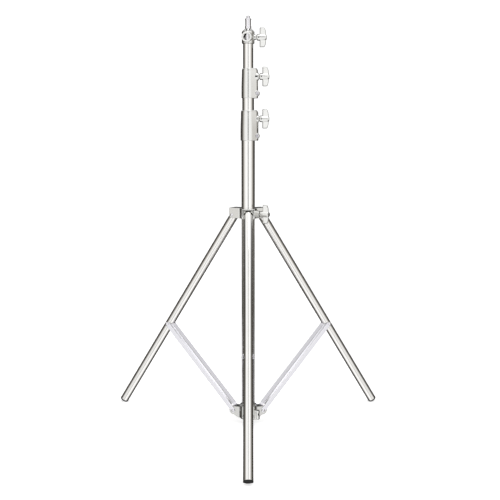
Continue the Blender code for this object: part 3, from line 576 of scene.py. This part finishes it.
def top_spider():
    low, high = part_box("top_spider")
    bottom, top = low.z, high.z
    pivot_r, pivot_z = pivot_of("front_leg_fold")
    round_r = pivot_z - bottom
    body = rod(SPIDER_RING_R, (0, 0, bottom), (0, 0, top), 0.0008, 96)
    tools = [rod(SPIDER_BORE_R, (0, 0, bottom - PAST), (0, 0, top + PAST), 0, 96)]
    corner = 0.0015
    side = [(LUG_FOOT_R, bottom)] + arc((LUG_REACH - round_r, pivot_z), round_r, -90, 0, 16)
    side += arc((LUG_REACH - corner, top - corner), corner, 0, 90, 4) + [(LUG_FOOT_R, top)]
    back, far, ceiling = SPIDER_RING_R + 0.0012, LUG_REACH + PAST, top - LUG_ROOF
    slot = [(back, bottom - PAST), (far, bottom - PAST), (far, ceiling)]
    slot += [(back - SLOT_BACK_SLOPE, ceiling), (back, pivot_z)]
    for azimuth in LEG_AZIMUTHS.values():
        turn = turn_z(azimuth)
        body = joined(body, moved(upright(prism(side, -LUG_HALF_WIDTH, LUG_HALF_WIDTH)), turn))
        tools.append(moved(upright(prism(slot, -LUG_SLOT_HALF, LUG_SLOT_HALF)), turn))
        tools.append(moved(rod(PIVOT_HOLE_R, (pivot_r, -PAST, pivot_z), (pivot_r, PAST, pivot_z)), turn))
    turn = turn_z(SPIDER_KNOB_AZIMUTH)
    ends = [(0.018, 0, SPIDER_KNOB_Z), (SPIDER_KNOB_REACH - 2 * GAP, 0, SPIDER_KNOB_Z)]
    body = joined(body, moved(rod(SPIDER_BOSS_R, *ends, 0.0012), turn))
    tools.append(moved(stud_hole(SPIDER_KNOB_Z, HOLE_FOOT, SPIDER_HOLE_END), turn))
    show("top_spider", cast(cut(body, *tools), SPIDER_GRID))


def lower_spider():
    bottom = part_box("lower_spider")[0].z
    eye_r, eye_z = pivot_of("front_brace_fold")
    edge = 0.0030
    outline = [(0, bottom), (HUB_R - edge, bottom), (HUB_R, bottom + edge)]
    outline += [(HUB_R, HUB_TOP - edge), (HUB_R - edge, HUB_TOP), (0, HUB_TOP)]
    body = turned(eased(outline, 0.0015))
    tools = [rod(BASE_HIGH.x + GAP, (0, 0, 0), (0, 0, HUB_TOP + PAST), 0, 96)]
    root, lug_bottom = 0.018, bottom + 0.0005
    side = [(root, lug_bottom), (0.029, lug_bottom)] + arc((eye_r, eye_z), HUB_EYE_R, -100, 95, 28)
    side += [(root, eye_z + HUB_EYE_R + 0.002)]
    for azimuth in LEG_AZIMUTHS.values():
        turn = turn_z(azimuth)
        body = joined(body, moved(upright(prism(side, -HUB_LUG_HALF, HUB_LUG_HALF)), turn))
        tools.append(moved(rod(PIVOT_HOLE_R, (eye_r, -PAST, eye_z), (eye_r, PAST, eye_z)), turn))
    turn = turn_z(SPIDER_KNOB_AZIMUTH)
    pillar = rod(PILLAR_R, (PILLAR_X, 0, bottom + GAP), (PILLAR_X, 0, PILLAR_TOP), 0.0018)
    body = joined(body, moved(pillar, turn))
    tools.append(moved(stud_hole(SET_SCREW_Z, HOLE_FOOT, SPIDER_HOLE_END), turn))
    show("lower_spider", cast(cut(body, *tools), SPIDER_GRID))
    end = PILLAR_X + 0.0030
    screw = rod(STUD_R, (BASE_HIGH.x + 2 * GAP, 0, SET_SCREW_Z), (end, 0, SET_SCREW_Z), 0.0005, 48)
    screw = cut(screw, rod(0.0025, (end - 0.0047, 0, SET_SCREW_Z), (end + PAST, 0, SET_SCREW_Z), 0, 6))
    show("lower_spider_set_screw", screw, turn)


def pivot_of(joint):
    """Distance from the column's axis and height of a leg's or a brace's pivot."""
    spot = STAND.inverted() @ Vector(JOINTS[joint]["pos_m"])
    return spot.xy.length, spot.z


def middle_of(*nodes):
    """The mean of the middles of the nodes' boxes, in the stand's frame."""
    total = Vector((0, 0, 0))
    for node in nodes:
        low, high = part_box(node)
        total += (low + high) / 2
    return STAND.inverted() @ (total / len(nodes))


def headed_pin(half, shank_r, head_r, head_height, recess_r):
    """A pin along Y with a domed head at each end and a hexagonal recess in the head at -Y."""
    seat, length, flat_r = half + GAP, half + GAP + head_height, 0.45 * head_r
    rim = seat + 0.35 * head_height
    outline = [(0, -length), (flat_r, -length), (head_r, -rim), (head_r, -seat), (shank_r, -seat)]
    outline += [(shank_r, seat), (head_r, seat), (head_r, rim), (flat_r, length), (0, length)]
    pin = moved(turned(eased(outline, 0.0004), 48), Matrix.Rotation(radians(-90), 4, "X"))
    return cut(pin, rod(recess_r, (0, -length - 0.001, 0), (0, -length + 0.0011, 0), 0, 6))


def leg_cap():
    inner, rim = LEG_HALF - LEG_WALL - GAP, CAP_RIM + GAP
    outline = [(0, -CAP_PLUG), (inner, -CAP_PLUG), (inner, rim), (LEG_HALF, rim)]
    outline += arc((LEG_HALF - CAP_CORNER, CAP_TOP - CAP_CORNER), CAP_CORNER, 0, 80, 8)
    outline += [(0, CAP_TOP + CAP_DOME)]
    return cut(turned(outline), rod(PIVOT_HOLE_R, (0, -PAST, 0), (0, PAST, 0)))


def leg_foot(length):
    """A rubber plug: ribs inside the tube, and a rounded lip that the leg stands on."""
    inner, shelf, plug_top, edge = LEG_HALF - LEG_WALL - GAP, FOOT_LIP - length, FOOT_PLUG - length, 0.001
    outline = [(0, plug_top), (inner - edge, plug_top), (inner, plug_top - edge)]
    for rib in range(4):
        height = plug_top - 0.005 - RIB_PITCH * rib
        outline += [(inner, height + edge), (inner - RIB_DEPTH, height), (inner, height - edge)]
    outline += [(inner, shelf), (FOOT_R, shelf), (FOOT_R, -length)]
    outline += [(0.6 * FOOT_R, -length), (0, 0.0006 - length)]
    return turned(eased(outline, 0.0007))


def brace(length):
    """A pressed U channel along +Z from its lower pivot, with its web at -X. Each of its bends is two creases
    with a flat between them."""
    outer_half = CHANNEL_INNER_HALF + CHANNEL_WALL
    back = -(WEB_OFFSET + CHANNEL_WALL)
    outer = [(FLANGE_DROP, outer_half), (back + CHANNEL_BEND, outer_half), (back, outer_half - CHANNEL_BEND)]
    outer = eased(outer + [(back, 0)], 0.0010)[1:-1]
    bend = CHANNEL_BEND - CHANNEL_WALL * (2 - math.sqrt(2))
    inner = [(bend - WEB_OFFSET, CHANNEL_INNER_HALF), (-WEB_OFFSET, CHANNEL_INNER_HALF - bend)]
    rim = arc((FLANGE_DROP - RIM_R, outer_half - RIM_R), RIM_R, 0, 90, 4)
    half_section = [(FLANGE_DROP, CHANNEL_INNER_HALF)] + rim + outer
    section = half_section + [(x, -y) for x, y in reversed(half_section)]
    section += [(x, -y) for x, y in inner] + list(reversed(inner))
    section = supported(section, True)
    inset = 0.020
    rows = (-BRACE_END_R, inset, length - inset, length + BRACE_END_R)
    channel = stacked([[(x, y, z) for x, y in section] for z in rows])
    half = CHANNEL_INNER_HALF - GAP
    lower_cut = box((-PAST, -half, -PAST), (bend - WEB_OFFSET + GAP, half, WEB_STARTS))
    turns = [radians(t) for t in range(0, 181, 9)]
    mouth = [(half * math.cos(t), -NOTCH_DEPTH * math.sin(t)) for t in turns]
    notch = prism([(half, PAST)] + mouth + [(-half, PAST)], -PAST, bend + GAP)
    across = Matrix(((0, 0, 1, -WEB_OFFSET), (1, 0, 0, 0), (0, 1, 0, length), (0, 0, 0, 1)))
    tools = [lower_cut, moved(notch, across), end_trim(0.0, -1), end_trim(length, 1)]
    tools += [rod(PIVOT_HOLE_R, (0, -PAST, z), (0, PAST, z)) for z in (0.0, length)]
    return cut(channel, *tools)


def end_trim(centre, outward):
    """What is trimmed off a brace's flanges to round their ends."""
    turns = [radians(t) for t in range(0, 181, 9)]
    rounded = [(FLANGE_DROP * math.cos(t), centre + outward * BRACE_END_R * math.sin(t)) for t in turns]
    far = centre + outward * PAST
    outline = [(PAST, centre)] + rounded + [(-PAST, centre), (-PAST, far), (PAST, far)]
    return upright(prism(outline, -PAST, PAST))


def rivet(side):
    """A domed rivet head on one flange of a brace, dished a little at its crown."""
    inner, outer = CHANNEL_INNER_HALF + GAP, CHANNEL_INNER_HALF + CHANNEL_WALL + GAP
    outline = [(0, inner), (RIVET_SHANK_R, inner), (RIVET_SHANK_R, outer), (RIVET_R, outer)]
    for turn in range(0, 90, 10):
        height = outer + RIVET_RIM + RIVET_CROWN * math.sin(radians(turn))
        outline.append((RIVET_R * math.cos(radians(turn)), height))
    outline += [(0, outer + RIVET_RIM + RIVET_CROWN - RIVET_DISH)]
    return moved(turned(eased(outline, 0.0003), 48), along((0, side, 0)))


def legs():
    for name, azimuth in LEG_AZIMUTHS.items():
        side = turn_z(azimuth)
        pivot_r, pivot_z = pivot_of(f"{name}_leg_fold")
        pivot = side @ Vector((pivot_r, 0, pivot_z))
        place = Matrix.Translation(pivot) @ side @ Matrix.Rotation(-LEG_TILT, 4, "Y")
        pipe = tube(LEG_HALF, LEG_WALL, FOOT_LIP + GAP - LEG_LENGTH, CAP_RIM, 0.0004)
        show(f"{name}_leg_tube", cut(pipe, rod(PIVOT_HOLE_R, (0, -PAST, 0), (0, PAST, 0))), place)
        show(f"{name}_leg_cap", leg_cap(), place)
        show(f"{name}_leg_foot", leg_foot(LEG_LENGTH), place, 50)
        bolt = headed_pin(LUG_HALF_WIDTH, *LEG_BOLT)
        show(f"{name}_leg_bolt", bolt, Matrix.Translation(pivot) @ side)
        eye_r, eye_z = pivot_of(f"{name}_brace_fold")
        eye = Matrix.Translation(side @ Vector((eye_r, 0, eye_z))) @ side
        pin = headed_pin(CHANNEL_INNER_HALF + CHANNEL_WALL, *BRACE_PIN)
        show(f"{name}_brace_pin", pin, eye)
        leaning = eye @ Matrix.Rotation(BRACE_TILT, 4, "Y")
        show(f"{name}_brace", brace(BRACE_LENGTH), leaning)
        at_rivet = leaning @ Matrix.Translation((0, 0, BRACE_LENGTH))
        for label, way in (("a", -1), ("b", 1)):
            show(f"{name}_rivet_{label}", rivet(way), at_rivet)


def leg_geometry():
    """Leg radius, tilt and length, and the brace's length and tilt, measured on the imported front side."""
    pivot_r, pivot_z = pivot_of("front_leg_fold")
    low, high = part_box("front_leg_tube")
    half = (high.x - low.x) / 2
    reach = STAND.translation.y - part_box("front_leg_foot")[0].y
    tilt = 0.6
    for _ in range(30):
        length = (pivot_z - FOOT_R * math.sin(tilt)) / math.cos(tilt)
        tilt = math.asin((reach - pivot_r - FOOT_R * math.cos(tilt)) / length)
    eye_r, eye_z = pivot_of("front_brace_fold")
    rivet_spot = middle_of("front_rivet_a", "front_rivet_b")
    across, up = rivet_spot.xy.length - eye_r, rivet_spot.z - eye_z
    return half, tilt, length, math.hypot(across, up), math.atan2(across, up)


LEG_HALF, LEG_TILT, LEG_LENGTH, BRACE_LENGTH, BRACE_TILT = leg_geometry()


def carried_over():
    """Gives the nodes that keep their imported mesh, all of them small or inside, their slot's material."""
    for node, item in frame["nodes"].items():
        if item.hide_render:
            continue
        item.data.materials.clear()
        item.data.materials.append(FINISHES[SLOT_OF[node]])
        item.data.shade_smooth()
        item.data.set_sharp_from_angle(angle=radians(32))


# ---------------------------------------------------------------- studio


def along_axis(nodes, links, axis, stops):
    """A ramp over the cosine of a direction's angle to an axis. A stop is a cosine and a colour."""
    place = nodes.new("ShaderNodeTexCoord")
    dot = nodes.new("ShaderNodeVectorMath")
    dot.operation = "DOT_PRODUCT"
    dot.inputs[1].default_value = axis
    links.new(place.outputs["Generated"], dot.inputs[0])
    shift = nodes.new("ShaderNodeMapRange")
    shift.inputs["From Min"].default_value = -1.0
    shift.inputs["From Max"].default_value = 1.0
    links.new(dot.outputs["Value"], shift.inputs["Value"])
    ramp = nodes.new("ShaderNodeValToRGB")
    links.new(shift.outputs["Result"], ramp.inputs["Fac"])
    elements = ramp.color_ramp.elements
    elements.remove(elements[1])
    elements[0].position = (stops[0][0] + 1) / 2
    elements[0].color = (*stops[0][1], 1.0)
    for cosine, colour in stops[1:]:
        elements.new((cosine + 1) / 2).color = (*colour, 1.0)
    return ramp.outputs["Color"]


def grey(level):
    return (level, level, level)


def zone(nodes, links, axis, low, high, soft=0.03):
    """1 where the cosine to an axis lies between low and high, falling to 0 just outside."""
    stops = [(low - soft, grey(0.0)), (low, grey(1.0))]
    if high < 1.0:
        stops += [(high, grey(1.0)), (high + soft, grey(0.0))]
    return along_axis(nodes, links, axis, stops)


def both(nodes, links, *masks):
    """1 where all the masks are 1."""
    product = masks[0]
    for mask in masks[1:]:
        step = nodes.new("ShaderNodeMath")
        step.operation = "MULTIPLY"
        links.new(product, step.inputs[0])
        links.new(mask, step.inputs[1])
        product = step.outputs["Value"]
    return product


# The surround's light by angle from straight behind the stand: dark behind and beside it, white in front.
SURROUND = (
    (180, 1.00), (140, 1.00), (133, 0.94), (120, 0.78), (113, 0.65), (99, 0.36), (91, 0.20), (78, 0.085),
    (64, 0.050), (40, 0.060), (0, 0.12),
)
# What its darker levels are tinted with.
DARK_TINT = (1.0, 0.93, 0.83)
SURROUND_STRENGTH = 1.14
UP, DOWN, RIGHT, BACK, FRONT = (0, 0, 1), (0, 0, -1), (1, 0, 0), (0, 1, 0), (0, -1, 0)
# Soft lights: a direction, the cosines to it where the light starts and is full, and its level.
SOFT_LIGHTS = (
    ((0, 0.35, 0.94), 0.42, 0.52, 0.60),
    ((0, -0.30, 0.95), 0.48, 0.66, 0.97),
    ((0, -0.50, -0.87), 0.75, 0.93, 0.97),
    ((-0.80, -0.40, -0.45), 0.86, 0.95, 0.74),
    ((0.80, -0.40, -0.45), 0.86, 0.95, 0.74),
)
# A wide dark area straight behind, and two small flags high up at the sides.
BACK_HALF, BACK_LEVEL = 0.30, 0.07
SIDE_FLAGS, SIDE_FLAG_COSINE, SIDE_FLAG_LEVEL = ((-0.6, 0.3, 0.74), (0.6, 0.3, 0.74)), 0.962, 0.04
# Gaps in front that draw lines along the knobs' hubs: low and high Z, half-width in X and level.
HUB_GAPS = ((0.50, 0.62, 0.30, 0.05), (0.20, 0.31, 0.25, 0.05))
# Gaps in front that draw the lines down the middle of the tubes, in the same form.
MIDDLE_GAPS = ((-0.30, 0.18, 0.07, 0.04), (0.72, 0.95, 0.05, 0.08))
# Gaps in front and below that draw the lines along the side legs.
LEG_GAPS, LEG_GAP_HALF, LEG_GAP_LEVEL = ((0.85, 0, -0.52), (0.85, 0, 0.52)), 0.06, 0.38


def surround(nodes, links):
    """The surround with its soft lights, before the flags."""
    stops = []
    for angle, level in SURROUND:
        tint = [level * (1 - (1 - level) * (1 - part)) for part in DARK_TINT]
        stops.append((math.cos(radians(angle)), tint))
    shade = along_axis(nodes, links, BACK, stops)
    for axis, start, end, level in SOFT_LIGHTS:
        light = [(start, grey(0.0)), (end, grey(level)), (1.0, grey(level))]
        shade = lighter(nodes, links, shade, along_axis(nodes, links, axis, light))
    return shade


def flagged(nodes, links, shade):
    """The surround behind its dark flags and gaps."""
    in_front = zone(nodes, links, FRONT, 0.42, 1.0)
    at_back = zone(nodes, links, BACK, 0.20, 1.0, 0.15)
    behind = both(nodes, links, at_back, zone(nodes, links, RIGHT, -BACK_HALF, BACK_HALF))
    shade = mixed(nodes, links, behind, shade, grey(BACK_LEVEL))
    for bottom, top, half, level in HUB_GAPS:
        narrow = zone(nodes, links, RIGHT, -half, half, 0.05)
        gap = both(nodes, links, in_front, zone(nodes, links, UP, bottom, top, 0.02), narrow)
        shade = mixed(nodes, links, gap, shade, grey(level))
    for axis in SIDE_FLAGS:
        flag = zone(nodes, links, axis, SIDE_FLAG_COSINE, 1.0, 0.008)
        shade = mixed(nodes, links, flag, shade, grey(SIDE_FLAG_LEVEL))
    for bottom, top, half, level in MIDDLE_GAPS:
        narrow = zone(nodes, links, RIGHT, -half, half, 0.04)
        gap = both(nodes, links, narrow, in_front, zone(nodes, links, UP, bottom, top))
        shade = mixed(nodes, links, gap, shade, grey(level))
    below = zone(nodes, links, DOWN, 0.32, 0.85)
    for axis in LEG_GAPS:
        narrow = zone(nodes, links, axis, -LEG_GAP_HALF, LEG_GAP_HALF, 0.04)
        gap = both(nodes, links, narrow, in_front, below)
        shade = mixed(nodes, links, gap, shade, grey(LEG_GAP_LEVEL))
    return shade


def studio_world():
    """A white surround with dark flags, as round a polished object. The flags draw the tubes' dark edges, and
    narrow gaps in front draw the thin line down the middle of each tube."""
    world = bpy.data.worlds.new("studio")
    bpy.context.scene.world = world
    world.use_nodes = True
    nodes, links = world.node_tree.nodes, world.node_tree.links
    shade = flagged(nodes, links, surround(nodes, links))
    seen = nodes.new("ShaderNodeLightPath")
    shade = mixed(nodes, links, seen.outputs["Is Camera Ray"], shade, grey(1.0))
    links.new(shade, nodes["Background"].inputs["Color"])
    nodes["Background"].inputs["Strength"].default_value = SURROUND_STRENGTH


def lighter(nodes, links, first, second):
    """The lighter of two colours."""
    mix = nodes.new("ShaderNodeMixRGB")
    mix.blend_type = "LIGHTEN"
    mix.inputs["Fac"].default_value = 1.0
    links.new(first, mix.inputs["Color1"])
    links.new(second, mix.inputs["Color2"])
    return mix.outputs["Color"]


def mixed(nodes, links, share, first, second):
    """The first colour where share is 0 and the second where it is 1. Each is a socket or a fixed colour."""
    mix = nodes.new("ShaderNodeMixRGB")
    links.new(share, mix.inputs["Fac"])
    for value, socket in ((first, mix.inputs["Color1"]), (second, mix.inputs["Color2"])):
        if isinstance(value, tuple):
            socket.default_value = (*value, 1.0)
        else:
            links.new(value, socket)
    return mix.outputs["Color"]


def floor():
    half = 6.0
    corners = ((-half, -half), (half, -half), (half, half), (-half, half))
    build = bmesh.new()
    build.faces.new([build.verts.new((x, y, 0)) for x, y in corners])
    made = bpy.data.objects.new("floor", mesh_of(build))
    bpy.context.scene.collection.objects.link(made)
    surface = bpy.data.materials.new("white_paper")
    surface.use_nodes = True
    shader = surface.node_tree.nodes["Principled BSDF"]
    shader.inputs["Base Color"].default_value = (0.93, 0.93, 0.93, 1.0)
    shader.inputs["Roughness"].default_value = 0.9
    shader.inputs["Emission Color"].default_value = (1.0, 1.0, 1.0, 1.0)
    shader.inputs["Emission Strength"].default_value = 0.60
    made.data.materials.append(surface)
    made.visible_glossy = False


def camera():
    """Stands 2.5 m in front of the column, at about seven tenths of its height, looking slightly down."""
    data = bpy.data.cameras.new("camera")
    data.sensor_width = 36.0
    data.lens = 63.36
    data.clip_end = 50.0
    made = bpy.data.objects.new("camera", data)
    bpy.context.scene.collection.objects.link(made)
    made.location = STAND @ Vector((0, -2.505, 0.843))
    made.rotation_euler = (radians(82.60), 0, radians(-0.119))
    bpy.context.scene.camera = made


def area_light(name, spot, aim, size, power):
    data = bpy.data.lights.new(name, "AREA")
    data.shape = "DISK"
    data.size = size
    data.energy = power
    made = bpy.data.objects.new(name, data)
    bpy.context.scene.collection.objects.link(made)
    made.location = spot
    made.rotation_euler = (Vector(aim) - Vector(spot)).to_track_quat("-Z", "Y").to_euler()


column_tubes()
collar("lower_collar")
collar("upper_collar")
head()
spigot()
knobs()
top_spider()
lower_spider()
legs()
carried_over()
studio_world()
floor()
camera()
area_light("overhead", (0.4, -0.6, 3.2), (0, 0, 0.3), 1.6, 8)
bpy.context.scene.view_settings.view_transform = "Standard"
